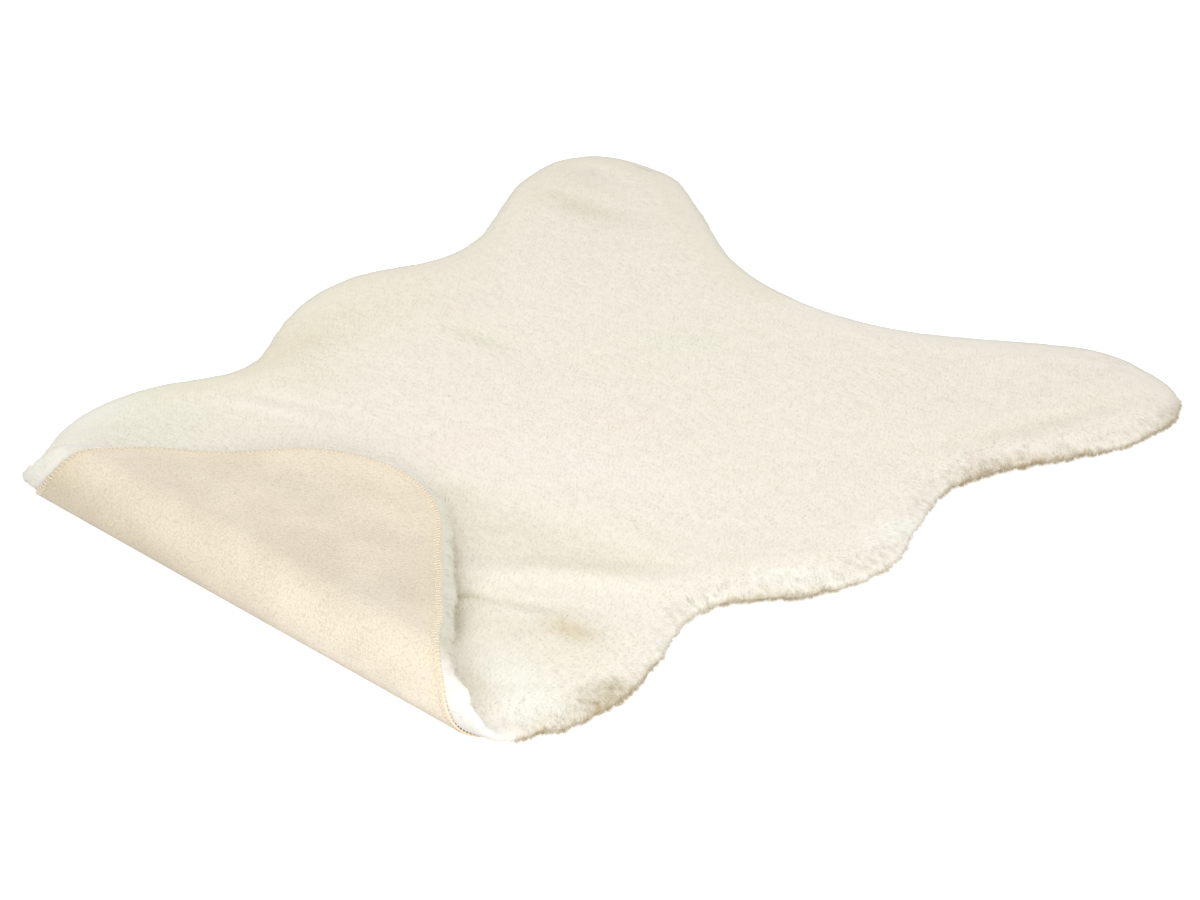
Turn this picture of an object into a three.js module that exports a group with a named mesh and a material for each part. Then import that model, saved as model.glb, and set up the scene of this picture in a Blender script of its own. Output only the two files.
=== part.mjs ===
// A hide-shaped imitation-fur rug that lies fur side up, with its head end turned back over itself.
//
// It is two cloths of one cut, stitched together round the edge: a suede-look backing and a pile fabric.
// Each is worked out in three steps: a cutting template of tangent arcs, a flat grid of rows across that
// template parallel to the fold, and the fold itself, which carries the flat grid round a roll.
//
// Millimetres. +Y runs along the spine, from the folded head end to the hind legs, and +Z is up. The
// origin is on the floor, under the middle of the rug.
import * as THREE from "three";

const { degToRad, euclideanModulo, lerp, mapLinear, smoothstep } = THREE.MathUtils;

// ---- Cloth ----
const BACKING_THICK = 2;
const CLOTH_GAP = 0.3; // between the backing and the fur, which only the edge stitching joins
const FUR_THICK = 14; // knitted ground and pile together

// ---- Cutting template ----
// Half of the cut edge as arcs joined by their common tangents, from between the hind legs round to the
// head. A lobe bulges outwards and a bay cuts inwards. The spine is at x = 0.
const TEMPLATE = [
  { part: "tail", x: 0, y: 465, radius: 223, shape: "bay" },
  { part: "hind foot, inner corner", x: 230, y: 280, radius: 55, shape: "lobe" },
  { part: "hind foot, outer corner", x: 257, y: 290, radius: 42, shape: "lobe" },
  { part: "hind leg", x: 180, y: 290, radius: 118, shape: "lobe" },
  { part: "loin", x: 348, y: 124, radius: 109, shape: "bay" },
  { part: "flank", x: 148, y: 18, radius: 117, shape: "lobe" },
  { part: "waist", x: 272, y: -112, radius: 57, shape: "bay" },
  { part: "shoulder", x: 141, y: -213, radius: 106, shape: "lobe" },
  { part: "cheek", x: 101, y: -370, radius: 58, shape: "lobe" },
  { part: "neck", x: 139, y: -490, radius: 56, shape: "bay" },
  { part: "head", x: 0, y: -411, radius: 100, shape: "lobe" },
];
const ARC_STEP = 5; // between points along an arc

// ---- Fold ----
const FOLD_SKEW = degToRad(2); // the fold isn't quite square to the spine
const FOLD_AT = -295; // where the backing leaves the floor, along the spine
const ROLL_RADIUS = 24; // of the backing's outer face, round the fold
const FLAP_FALL = degToRad(15); // slope at which the flap comes down behind the roll
const FLAP_HEIGHT = 36; // of the flap's upper face, where it lies on the fur below

// How far the cloth has crept sideways, by the length of cloth past the fold.
const CREEP = [
  { past: 0, across: 0 },
  { past: 50, across: 11.5 },
  { past: 97, across: 0 },
  { past: 123, across: -5 },
  { past: 149, across: 0 },
];

const ROLL_TURN = Math.PI + FLAP_FALL;
const ROLL_LENGTH = ROLL_TURN * ROLL_RADIUS;
const EASE_DROP = 2 * ROLL_RADIUS - FLAP_HEIGHT; // from the roll's crest down to the flap
const EASE_RADIUS = EASE_DROP / (1 - Math.cos(FLAP_FALL)) - ROLL_RADIUS; // of the bend that levels it

// ---- Hollows ----
// Soft troughs pressed into the pile. Length and width are half-sizes, and turn is measured from +X.
const HOLLOWS = [
  { part: "beside the neck", x: 125, y: -150, length: 85, width: 30, turn: 40, depth: 2.5 },
  { part: "across the shoulder", x: 150, y: -195, length: 55, width: 18, turn: 26, depth: 2.5 },
];

// ---- Grid ----
const HALF_COLUMNS = 7;
const FLAT_STEP = 18; // between rows where the cloth lies flat
const BEND_STEP = 7.5; // between rows round the roll
const HEAD_ROWS = 5; // rows that close in on the head's tip
const HEAD_REACH = 36; // length of cloth that those rows take
const LEG_ROWS = 10;

// A cloth's edge, from its lower face to its upper face: how far it stands out past the cut.
const CUT_EDGE = [
  { height: 0, spread: 0 },
  { height: 1, spread: 0 },
];
const PILE_EDGE = [
  { height: 0, spread: 0 },
  { height: 0.3, spread: 5.5 },
  { height: 0.6, spread: 7 },
  { height: 0.87, spread: 4 },
  { height: 1, spread: -4 },
];
const SPLAY = 2; // how much further the pile stands out where the fold and the flap squeeze it

// Evenly spaced values, both ends included.
const spaced = (from, to, steps) =>
  Array.from({ length: steps + 1 }, (_, k) => from + ((to - from) * k) / steps);

// Values about a step apart, without the first end.
const stations = (from, to, step) => spaced(from, to, Math.round((to - from) / step)).slice(1);

// ---- The cut edge ----
const turnOf = (arc) => (arc.shape === "lobe" ? 1 : -1);

// The place on an arc where someone walking clockwise round the template has that heading.
function placeAtHeading(arc, heading) {
  const reach = turnOf(arc) * arc.radius;
  return new THREE.Vector2(arc.x - reach * Math.sin(heading), arc.y + reach * Math.cos(heading));
}

// The heading of the straight stretch that joins two arcs of the walk, between -180 and 180 degrees.
function headingBetween(from, to) {
  const centres = new THREE.Vector2(to.x - from.x, to.y - from.y);
  const widening = turnOf(to) * to.radius - turnOf(from) * from.radius;
  const straight = Math.sqrt(centres.lengthSq() - widening ** 2);
  const heading = Math.atan2(centres.y, centres.x) + Math.atan2(widening, straight);
  return euclideanModulo(heading + Math.PI, 2 * Math.PI) - Math.PI;
}

// The right half of the cut edge, from the middle of the tail bay to the tip of the head.
function halfTemplate() {
  const between = TEMPLATE.slice(1).map((arc, i) => headingBetween(TEMPLATE[i], arc));
  const headings = [0, ...between, -Math.PI];
  return TEMPLATE.flatMap((arc, i) => {
    const sweep = Math.abs(headings[i + 1] - headings[i]);
    const steps = Math.ceil((sweep * arc.radius) / ARC_STEP);
    return spaced(headings[i], headings[i + 1], steps).map((heading) => placeAtHeading(arc, heading));
  });
}

// The whole cut edge, clockwise, turned so that the fold runs along X.
function wholeTemplate() {
  const right = halfTemplate();
  const left = right.slice(1, -1).map((place) => new THREE.Vector2(-place.x, place.y));
  const origin = new THREE.Vector2();
  return [...right, ...left.reverse()].map((place) => place.rotateAround(origin, -FOLD_SKEW));
}

// Where a level line crosses the cut edge, from left to right.
function crossings(template, y) {
  return template
    .map((a, i) => [a, template[(i + 1) % template.length]])
    .filter(([a, b]) => a.y > y !== b.y > y)
    .map(([a, b]) => mapLinear(y, a.y, b.y, a.x, b.x))
    .sort((a, b) => a - b);
}

// ---- The flat grid ----
// The flat cloth as points, triangles and the loop of points round its edge, all counter-clockwise.
// Rows of points run from the tip of the head to the tail bay, and from there up each hind leg.
function flatGrid() {
  const template = wholeTemplate();
  const lowest = (places) => places.reduce((a, b) => (b.y < a.y ? b : a));
  const highest = (places) => places.reduce((a, b) => (b.y > a.y ? b : a));
  const headTip = lowest(template);
  const leftToe = highest(template.filter((place) => place.x < 0));
  const rightToe = highest(template.filter((place) => place.x > 0));
  const bay = lowest(template.filter(({ x, y }) => y > 0 && Math.abs(x) < rightToe.x / 2));

  const points = [];
  const triangles = [];
  const add = (x, y) => points.push(new THREE.Vector2(x, y)) - 1;
  const addRow = (xs, y) => xs.map((x) => add(x, y));
  const addStrip = (low, high) => {
    for (let j = 0; j + 1 < low.length; j++) {
      triangles.push([low[j], low[j + 1], high[j + 1]], [low[j], high[j + 1], high[j]]);
    }
  };
  const addFan = (row, tip) => {
    for (let j = 0; j + 1 < row.length; j++) {
      triangles.push([row[j], row[j + 1], tip]);
    }
  };

  const bendEnd = FOLD_AT - ROLL_LENGTH;
  const headRows = spaced(0, 1, HEAD_ROWS).slice(1);
  const heights = [
    ...headRows.map((share) => headTip.y + HEAD_REACH * share ** 2),
    ...stations(headTip.y + HEAD_REACH, bendEnd, FLAT_STEP),
    ...stations(bendEnd, FOLD_AT, BEND_STEP),
    ...stations(FOLD_AT, bay.y, FLAT_STEP),
  ];
  const body = heights.map((y) => {
    const ends = crossings(template, y);
    const middle = mapLinear(y, headTip.y, bay.y, headTip.x, bay.x);
    const leftHalf = spaced(ends[0], middle, HALF_COLUMNS);
    const rightHalf = spaced(middle, ends.at(-1), HALF_COLUMNS);
    return addRow([...leftHalf, ...rightHalf.slice(1)], y);
  });
  const head = add(headTip.x, headTip.y);
  addFan([...body[0]].reverse(), head);
  body.slice(1).forEach((row, i) => addStrip(body[i], row));

  // A leg starts at its half of the last body row, and its rows close up towards the toe.
  const addLeg = (base, toe, endsOf) => {
    const angles = spaced(0, Math.PI, LEG_ROWS).slice(1, -1);
    const rows = angles.map((angle) => {
      const y = lerp(bay.y, toe.y, (1 - Math.cos(angle)) / 2);
      const [left, right] = endsOf(crossings(template, y));
      return addRow(spaced(left, right, HALF_COLUMNS), y);
    });
    rows.forEach((row, i) => addStrip(i ? rows[i - 1] : base, row));
    const tip = add(toe.x, toe.y);
    addFan(rows.at(-1), tip);
    return { right: rows.map((row) => row.at(-1)), tip, left: rows.map((row) => row[0]).reverse() };
  };
  const last = body.at(-1);
  const rightLeg = addLeg(last.slice(HALF_COLUMNS), rightToe, (ends) => ends.slice(-2));
  const leftLeg = addLeg(last.slice(0, HALF_COLUMNS + 1), leftToe, (ends) => ends);

  const edge = [
    head,
    ...body.map((row) => row.at(-1)),
    ...[rightLeg.right, rightLeg.tip, rightLeg.left].flat(),
    last[HALF_COLUMNS],
    ...[leftLeg.right, leftLeg.tip, leftLeg.left].flat(),
    ...body.map((row) => row[0]).reverse(),
  ];
  return { points, triangles, edge };
}

// ---- The fold ----
// The cloth runs along the floor, round the roll, down behind it, and then level over the fur below.
// Unit vector from the roll's middle out through the cloth, once the cloth has turned by that angle.
const outOfRoll = (angle) => new THREE.Vector2(-Math.sin(angle), -Math.cos(angle));

// How far the cloth has crept sideways there, eased from one station of the creep to the next.
function creepAt(past) {
  const next = CREEP.findIndex((station) => station.past >= past);
  if (next < 1) {
    return 0;
  }
  const [from, to] = CREEP.slice(next - 1, next + 1);
  return lerp(from.across, to.across, smoothstep(past, from.past, to.past));
}

// Carries a place on the flat cloth, at a height above the backing's outer face, to where it lies.
function folded(place, height) {
  const past = FOLD_AT - place.y;
  if (past <= 0) {
    return new THREE.Vector3(place.x, place.y, height);
  }
  const x = place.x + creepAt(past);
  const rollMiddle = new THREE.Vector2(FOLD_AT, ROLL_RADIUS);
  if (past <= ROLL_LENGTH) {
    const side = rollMiddle.addScaledVector(outOfRoll(past / ROLL_RADIUS), ROLL_RADIUS - height);
    return new THREE.Vector3(x, side.x, side.y);
  }
  const eased = Math.min(past - ROLL_LENGTH, FLAP_FALL * EASE_RADIUS);
  const easeMiddle = rollMiddle.addScaledVector(outOfRoll(ROLL_TURN), ROLL_RADIUS + EASE_RADIUS);
  const angle = ROLL_TURN - eased / EASE_RADIUS;
  const side = easeMiddle.addScaledVector(outOfRoll(angle), -EASE_RADIUS - height);
  return new THREE.Vector3(x, side.x + past - ROLL_LENGTH - eased, side.y);
}

// ---- The cloths ----
// How far the pile is pressed down at a place on the flat cloth.
function hollowAt(place) {
  const depths = HOLLOWS.map((hollow) => {
    const along = new THREE.Vector2(place.x - hollow.x, place.y - hollow.y);
    along.rotateAround(new THREE.Vector2(), -degToRad(hollow.turn));
    return hollow.depth * Math.exp(-((along.x / hollow.length) ** 2) - (along.y / hollow.width) ** 2);
  });
  return depths.reduce((sum, depth) => sum + depth);
}

// A closed solid on the flat grid, folded. Its lower face is that high above the backing's outer face.
function clothSolid(grid, lowerFace, thicknessAt, edgeProfile) {
  const positions = [];
  const addPoint = (place, level) => {
    const { x, y, z } = folded(place, lowerFace + level.height * thicknessAt(place));
    return positions.push(x, y, z) / 3 - 1;
  };
  const { points, triangles, edge } = grid;
  const around = edge.length;
  const outward = edge.map((_, i) => {
    const before = points[edge[(i + around - 1) % around]];
    const after = points[edge[(i + 1) % around]];
    return new THREE.Vector2(after.y - before.y, before.x - after.x).normalize();
  });
  const addRing = (level) =>
    edge.map((index, i) => {
      const squeezed = smoothstep(FOLD_AT - points[index].y, 0, ROLL_LENGTH / 2);
      const spread = level.spread * lerp(1, SPLAY, squeezed);
      return addPoint(points[index].clone().addScaledVector(outward[i], spread), level);
    });
  // A whole face: the ring round its edge, and the grid's other points inside that.
  const addFace = (level, ring) => {
    const onEdge = new Map(edge.map((index, i) => [index, ring[i]]));
    return points.map((point, index) => onEdge.get(index) ?? addPoint(point, level));
  };
  const rings = edgeProfile.map(addRing);
  const lower = addFace(edgeProfile[0], rings[0]);
  const upper = addFace(edgeProfile.at(-1), rings.at(-1));

  const indices = triangles.flatMap(([a, b, c]) => [
    ...[upper[a], upper[b], upper[c]],
    ...[lower[a], lower[c], lower[b]],
  ]);
  rings.slice(1).forEach((high, k) => {
    const low = rings[k];
    for (let i = 0; i < around; i++) {
      const j = (i + 1) % around;
      indices.push(low[i], low[j], high[j], low[i], high[j], high[i]);
    }
  });
  const geometry = new THREE.BufferGeometry();
  geometry.setAttribute("position", new THREE.Float32BufferAttribute(positions, 3));
  geometry.setIndex(indices);
  geometry.computeVertexNormals();
  return geometry;
}

// The suede-look cloth that shows underneath and on top of the flap.
function makeBacking(grid) {
  const suede = new THREE.MeshStandardMaterial({ color: 0xe9deca, roughness: 0.9, metalness: 0 });
  const geometry = clothSolid(grid, 0, () => BACKING_THICK, CUT_EDGE);
  const backing = new THREE.Mesh(geometry, suede);
  backing.name = "backing";
  return backing;
}

// The pile fabric, whose fibres fan out past the cut edge.
function makeFur(grid) {
  const pile = new THREE.MeshStandardMaterial({ color: 0xf3ecdd, roughness: 1, metalness: 0 });
  const thicknessAt = (place) => FUR_THICK - hollowAt(place);
  const geometry = clothSolid(grid, BACKING_THICK + CLOTH_GAP, thicknessAt, PILE_EDGE);
  const fur = new THREE.Mesh(geometry, pile);
  fur.name = "fur";
  return fur;
}

// ---- The rug ----
const grid = flatGrid();
const rug = new THREE.Group();
rug.add(makeBacking(grid), makeFur(grid));
rug.rotation.z = FOLD_SKEW;

// The box round the turned rug gives the point under its middle, which becomes the origin.
const centred = new THREE.Group();
centred.add(rug);
const box = new THREE.Box3().setFromObject(centred, true);
const middle = box.getCenter(new THREE.Vector3());
rug.position.set(-middle.x, -middle.y, -box.min.z);

export default centred;
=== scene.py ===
# A hide-shaped imitation-fur rug that lies fur side up, with its head end turned back over itself.
# Metres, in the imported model's frame: +Y runs along the spine to the hind legs, and +Z is up.
import math
import bpy
import numpy as np
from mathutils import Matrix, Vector, noise
from mathutils.kdtree import KDTree


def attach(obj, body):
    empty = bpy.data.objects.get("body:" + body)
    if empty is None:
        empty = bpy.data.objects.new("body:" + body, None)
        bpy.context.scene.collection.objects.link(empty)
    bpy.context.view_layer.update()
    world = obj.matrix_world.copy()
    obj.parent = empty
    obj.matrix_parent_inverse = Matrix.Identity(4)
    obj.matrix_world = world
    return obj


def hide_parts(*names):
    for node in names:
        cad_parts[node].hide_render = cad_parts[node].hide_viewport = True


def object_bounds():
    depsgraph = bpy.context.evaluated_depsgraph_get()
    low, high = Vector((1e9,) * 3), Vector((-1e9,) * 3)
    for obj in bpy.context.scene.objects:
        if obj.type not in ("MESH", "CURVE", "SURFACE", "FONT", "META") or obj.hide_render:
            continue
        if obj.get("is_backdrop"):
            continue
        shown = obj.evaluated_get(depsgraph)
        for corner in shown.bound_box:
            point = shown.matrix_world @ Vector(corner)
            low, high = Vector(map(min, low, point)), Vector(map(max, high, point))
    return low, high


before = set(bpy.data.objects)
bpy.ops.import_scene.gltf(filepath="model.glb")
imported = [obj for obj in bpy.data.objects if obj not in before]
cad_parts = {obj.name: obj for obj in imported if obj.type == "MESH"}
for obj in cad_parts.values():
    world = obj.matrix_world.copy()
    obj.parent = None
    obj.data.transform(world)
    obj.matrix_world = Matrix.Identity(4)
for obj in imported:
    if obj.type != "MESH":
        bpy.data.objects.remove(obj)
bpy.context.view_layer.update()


# ==== Suede-look backing ====
# Beige polyester cloth, 2 mm thick, with a finely pebbled suede-look face. It is cut to the outline of a
# hide with a head, shoulders, flanks and hind legs, and lies face down. The head end is turned back over
# the rug round a soft roll, which brings its face up.
BACKING_THICK = 0.002

# Half of the cut edge as arcs joined by their common tangents, from between the hind legs round to the
# head: the arc's middle, its radius, and 1 for a lobe or -1 for a bay. The spine is at x = 0.
CUT_ARCS = {
    "tail": (0, 0.465, 0.223, -1),
    "hind foot, inner corner": (0.230, 0.280, 0.055, 1),
    "hind foot, outer corner": (0.257, 0.290, 0.042, 1),
    "hind leg": (0.180, 0.290, 0.118, 1),
    "loin": (0.348, 0.124, 0.109, -1),
    "flank": (0.148, 0.018, 0.117, 1),
    "waist": (0.272, -0.112, 0.057, -1),
    "shoulder": (0.141, -0.213, 0.106, 1),
    "cheek": (0.101, -0.370, 0.058, 1),
    "neck": (0.139, -0.490, 0.056, -1),
    "head": (0, -0.411, 0.100, 1),
}
ARC_STEP = 0.0015  # between points along an arc
EDGE_STEP = 0.0010  # between the places that distances to the edge are measured from

FOLD_SKEW = math.radians(2)  # the fold isn't quite square to the spine
FOLD_AT = -0.295  # where the backing leaves the floor, along the spine
ROLL_RADIUS = 0.024  # of the backing's outer face
FLAP_FALL = math.radians(15)  # slope at which the flap comes down behind the roll
FLAP_HEIGHT = 0.036  # of the flap's upper face
# How far the cloth has crept sideways, by the length of cloth past the fold.
CREEP_PAST = np.array([0, 0.050, 0.097, 0.123, 0.149])
CREEP_ACROSS = np.array([0, 0.0115, 0, -0.005, 0])
ROLL_TURN = math.pi + FLAP_FALL
ROLL_LENGTH = ROLL_TURN * ROLL_RADIUS
EASE_RADIUS = (2 * ROLL_RADIUS - FLAP_HEIGHT) / (1 - math.cos(FLAP_FALL)) - ROLL_RADIUS
MIDDLE = np.array([0.000181, 0.008266])  # of the folded rug, before it is centred


def turned(places, angle):
    """Places turned counter-clockwise about the origin."""
    c, s = math.cos(angle), math.sin(angle)
    return places @ np.array([[c, s], [-s, c]])


def half_cut():
    """The right half of the cut edge, from the middle of the tail bay to the tip of the head."""
    arcs = [np.array(arc) for arc in CUT_ARCS.values()]
    headings = [0.0]
    for (ax, ay, ar, aside), (bx, by, br, bside) in zip(arcs, arcs[1:]):
        widening = bside * br - aside * ar
        straight = math.sqrt((bx - ax) ** 2 + (by - ay) ** 2 - widening**2)
        heading = math.atan2(by - ay, bx - ax) + math.atan2(widening, straight)
        headings.append((heading + math.pi) % (2 * math.pi) - math.pi)
    headings.append(-math.pi)
    places = []
    for (x, y, radius, side), start, end in zip(arcs, headings, headings[1:]):
        steps = math.ceil(abs(end - start) * radius / ARC_STEP)
        h = np.linspace(start, end, steps + 1)
        places.append(np.stack([x - side * radius * np.sin(h), y + side * radius * np.cos(h)], 1))
    return np.concatenate(places)


right_half = half_cut()
CUT = np.concatenate([right_half, (right_half * (-1, 1))[1:-1][::-1]])
CUT = turned(CUT, -FOLD_SKEW)  # clockwise, with the fold along X


def crossings(y):
    """Where a level line crosses the cut edge, from left to right."""
    a, b = CUT, np.roll(CUT, -1, axis=0)
    cross = (a[:, 1] > y) != (b[:, 1] > y)
    a, b = a[cross], b[cross]
    return np.sort(a[:, 0] + (y - a[:, 1]) * (b[:, 0] - a[:, 0]) / (b[:, 1] - a[:, 1]))


HEAD_REACH = 0.036  # of the closer rows at the tip of the head
HAIR = 1e-7  # keeps a level line off the bay's own turning point


def flat_grid(half_columns, row_step, head_rows, leg_rows):
    """The flat cloth as points, faces and the loop of points round its edge, counter-clockwise."""
    head_tip = CUT[CUT[:, 1].argmin()]
    left, right = CUT[CUT[:, 0] < 0], CUT[CUT[:, 0] > 0]
    left_toe, right_toe = left[left[:, 1].argmax()], right[right[:, 1].argmax()]
    between_legs = CUT[(CUT[:, 1] > 0) & (np.abs(CUT[:, 0]) < right_toe[0] / 2)]
    bay = between_legs[between_legs[:, 1].argmin()]
    points, faces = [], []

    def add_row(low, high, columns, y):
        start = len(points)
        points.extend((x, y) for x in np.linspace(low, high, columns + 1))
        return list(range(start, len(points)))

    def add_strip(low, high):
        faces.extend((low[j], low[j + 1], high[j + 1], high[j]) for j in range(len(low) - 1))

    first = head_tip[1] + HEAD_REACH
    rows = round((bay[1] - first) / row_step)
    heights = np.concatenate(
        [
            head_tip[1] + HEAD_REACH * np.linspace(0, 1, head_rows + 1)[1:] ** 2,
            np.linspace(first, bay[1], rows + 1)[1:],
        ]
    )
    body = []
    for y in heights:
        ends = crossings(y - HAIR)
        share = (y - head_tip[1]) / (bay[1] - head_tip[1])
        middle = head_tip[0] + share * (bay[0] - head_tip[0])
        row = add_row(ends[0], middle, half_columns, y)
        points.pop()
        row.pop()
        body.append(row + add_row(middle, ends[-1], half_columns, y))
    points.append(tuple(head_tip))
    head = len(points) - 1
    faces.extend((b, a, head) for a, b in zip(body[0], body[0][1:]))
    for low, high in zip(body, body[1:]):
        add_strip(low, high)

    def add_leg(base, toe, ends_of):
        rows = [base]
        for angle in np.linspace(0, math.pi, leg_rows + 1)[1:-1]:
            y = bay[1] + (toe[1] - bay[1]) * (1 - math.cos(angle)) / 2
            low, high = ends_of(crossings(y))
            rows.append(add_row(low, high, half_columns, y))
            add_strip(rows[-2], rows[-1])
        points.append(tuple(toe))
        tip = len(points) - 1
        faces.extend((a, b, tip) for a, b in zip(rows[-1], rows[-1][1:]))
        rows = rows[1:]
        return [row[-1] for row in rows] + [tip] + [row[0] for row in reversed(rows)]

    last = body[-1]
    right_leg = add_leg(last[half_columns:], right_toe, lambda ends: ends[-2:])
    left_leg = add_leg(last[: half_columns + 1], left_toe, lambda ends: ends[:2])
    loop = [head] + [row[-1] for row in body] + right_leg + [last[half_columns]]
    loop += left_leg + [row[0] for row in reversed(body)]
    return np.array(points), faces, np.array(loop)


def out_of_roll(angle):
    """The way out of the roll at that angle round it, as along and up."""
    return np.stack([-np.sin(angle), -np.cos(angle)], 1)


def smooth_between(value, stops, levels):
    """The levels at those stops, eased from one to the next."""
    step = np.interp(value, stops, np.arange(len(stops)))
    whole = np.floor(step)
    share = step - whole
    return np.interp(whole + share**2 * (3 - 2 * share), np.arange(len(stops)), levels)


def lie(flat, height):
    """Carries places on the flat cloth, at heights above its outer face, to where they lie."""
    past = FOLD_AT - flat[:, 1]
    height = np.broadcast_to(height, past.shape)[:, None]
    x = flat[:, 0] + smooth_between(past, CREEP_PAST, CREEP_ACROSS)

    roll_middle = np.array([FOLD_AT, ROLL_RADIUS])
    angle = np.clip(past, 0, ROLL_LENGTH) / ROLL_RADIUS
    side = roll_middle + out_of_roll(angle) * (ROLL_RADIUS - height)
    side[:, 0] += np.maximum(-past, 0)

    eased = np.clip(past - ROLL_LENGTH, 0, FLAP_FALL * EASE_RADIUS)
    turn = np.full_like(past, ROLL_TURN)
    ease_middle = roll_middle + out_of_roll(turn) * (ROLL_RADIUS + EASE_RADIUS)
    flap = ease_middle - out_of_roll(ROLL_TURN - eased / EASE_RADIUS) * (EASE_RADIUS + height)
    flap[:, 0] += past - ROLL_LENGTH - eased
    side = np.where((past > ROLL_LENGTH)[:, None], flap, side)

    level = turned(np.stack([x, side[:, 0]], 1), FOLD_SKEW) - MIDDLE
    return np.column_stack([level, side[:, 1]])


def cut_frame(flat, height):
    """The folded cloth's own directions: across it, along it, and out through its upper face."""
    nudge = 1e-4
    across = lie(flat + (nudge, 0), height) - lie(flat - (nudge, 0), height)
    along = lie(flat + (0, nudge), height) - lie(flat - (0, nudge), height)
    across /= np.linalg.norm(across, axis=1)[:, None]
    along /= np.linalg.norm(along, axis=1)[:, None]
    return across, along, np.cross(across, along)


def paced(edge, step):
    """Places a whole number of steps apart round a closed edge."""
    closed = np.concatenate([edge, edge[:1]])
    run = np.concatenate([[0], np.cumsum(np.linalg.norm(np.diff(closed, axis=0), axis=1))])
    stops = np.linspace(0, run[-1], round(run[-1] / step) + 1)[:-1]
    return np.stack([np.interp(stops, run, closed[:, k]) for k in range(2)], 1)


def from_edge(flat):
    """How far each place is from the cut edge, the nearest place on it, and the way out there."""
    edge = paced(CUT, EDGE_STEP)
    tree = KDTree(len(edge))
    for i, (x, y) in enumerate(edge):
        tree.insert((x, y, 0), i)
    tree.balance()
    found = [tree.find((x, y, 0)) for x, y in flat]
    run = np.roll(edge, -1, axis=0) - np.roll(edge, 1, axis=0)
    out = np.stack([-run[:, 1], run[:, 0]], 1) / np.linalg.norm(run, axis=1)[:, None]
    nearest = [i for _, i, _ in found]
    return np.array([away for _, _, away in found]), edge[nearest], out[nearest]


def faded(distance, reach):
    """1 where there is no distance, falling softly to 0 past that reach."""
    return np.exp(-((distance / reach) ** 2))


def added(name, data):
    """A new object in the scene."""
    made = bpy.data.objects.new(name, data)
    bpy.context.scene.collection.objects.link(made)
    return made


def plain_object(name, verts, faces):
    mesh = bpy.data.meshes.new(name)
    mesh.from_pydata([tuple(v) for v in verts], [], faces)
    mesh.validate()
    mesh.update()
    return added(name, mesh)


def closed_cloth(name, grid, lower, upper, rim):
    """A closed sheet on the flat grid, folded. rim is its edge from the lower face to the upper one,
    as (share of the height, spread past the cut edge)."""
    flat, faces, loop = grid
    count, around = len(flat), len(loop)
    _, _, way_out = from_edge(flat[loop])
    lower = np.broadcast_to(lower, count)
    flats, heights = [flat, flat], [lower, upper]
    for share, spread in rim:
        flats.append(flat[loop] + way_out * np.broadcast_to(spread, around)[:, None])
        heights.append(lower[loop] + share * (upper - lower)[loop])
    verts = lie(np.concatenate(flats), np.concatenate(heights))
    quads = [tuple(reversed(face)) for face in faces]
    quads += [tuple(i + count for i in face) for face in faces]
    rings = [list(loop)]
    rings += [[2 * count + k * around + i for i in range(around)] for k in range(len(rim))]
    rings += [[i + count for i in loop]]
    for low, high in zip(rings, rings[1:]):
        quads += [
            (low[i], low[(i + 1) % around], high[(i + 1) % around], high[i]) for i in range(around)
        ]
    cloth = plain_object(name, verts, quads)
    cloth.data.polygons.foreach_set("use_smooth", [True] * len(quads))
    # The flat cut is the UV map, in metres, so that a grain follows the cloth round the fold.
    cut_map = cloth.data.uv_layers.new(name="cut")
    corners = np.empty(len(cloth.data.loops), dtype=np.int32)
    cloth.data.loops.foreach_get("vertex_index", corners)
    cut_map.data.foreach_set("uv", np.concatenate(flats)[corners].ravel())
    return cloth, np.concatenate(flats)


def new_material(name):
    """A new material, its node tree and its shader."""
    material = bpy.data.materials.new(name)
    material.use_nodes = True
    tree = material.node_tree
    return material, tree, tree.nodes["Principled BSDF"]


def usable(sockets, key):
    """The socket with that name, or that number, among those in use."""
    in_use = [socket for socket in sockets if socket.enabled]
    return in_use[key] if isinstance(key, int) else next(s for s in in_use if s.name == key)


def set_inputs(tree, node, inputs):
    """Sets a node's inputs to values, or links them to other nodes' outputs."""
    for key, value in dict(inputs).items():
        socket = usable(node.inputs, key)
        if isinstance(value, bpy.types.NodeSocket):
            tree.links.new(value, socket)
        else:
            socket.default_value = value


def add_node(tree, kind, inputs=(), **settings):
    """A node with its settings and inputs."""
    node = tree.nodes.new(kind)
    for key, value in settings.items():
        setattr(node, key, value)
    set_inputs(tree, node, inputs)
    return node


def out(node, key=0):
    return usable(node.outputs, key)


def noise_on(tree, place, scale, detail=2.0):
    inputs = {"Vector": place, "Scale": scale, "Detail": detail}
    return out(add_node(tree, "ShaderNodeTexNoise", inputs))


def ranged(tree, value, from_min, from_max, to_min, to_max):
    ends = {1: from_min, 2: from_max, 3: to_min, 4: to_max}
    return out(add_node(tree, "ShaderNodeMapRange", {0: value, **ends}))


def mixed(tree, factor, a, b, kind="RGBA", **settings):
    inputs = {"Factor": factor, "A": a, "B": b}
    return out(add_node(tree, "ShaderNodeMix", inputs, data_type=kind, **settings))


def multiplied(tree, colour, factors):
    for factor in factors:
        colour = mixed(tree, 1.0, colour, factor, blend_type="MULTIPLY")
    return colour


def bumped(tree, height, strength, distance, invert=False):
    inputs = {"Strength": strength, "Distance": distance, "Height": height}
    return out(add_node(tree, "ShaderNodeBump", inputs, invert=invert))


BACKING_RIM = [(0.2, 0.0003), (0.5, 0.0005), (0.8, 0.0003)]
BACKING_BUILD = flat_grid(half_columns=46, row_step=0.0052, head_rows=16, leg_rows=28)
backing_inset, _, _ = from_edge(BACKING_BUILD[0])
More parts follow.
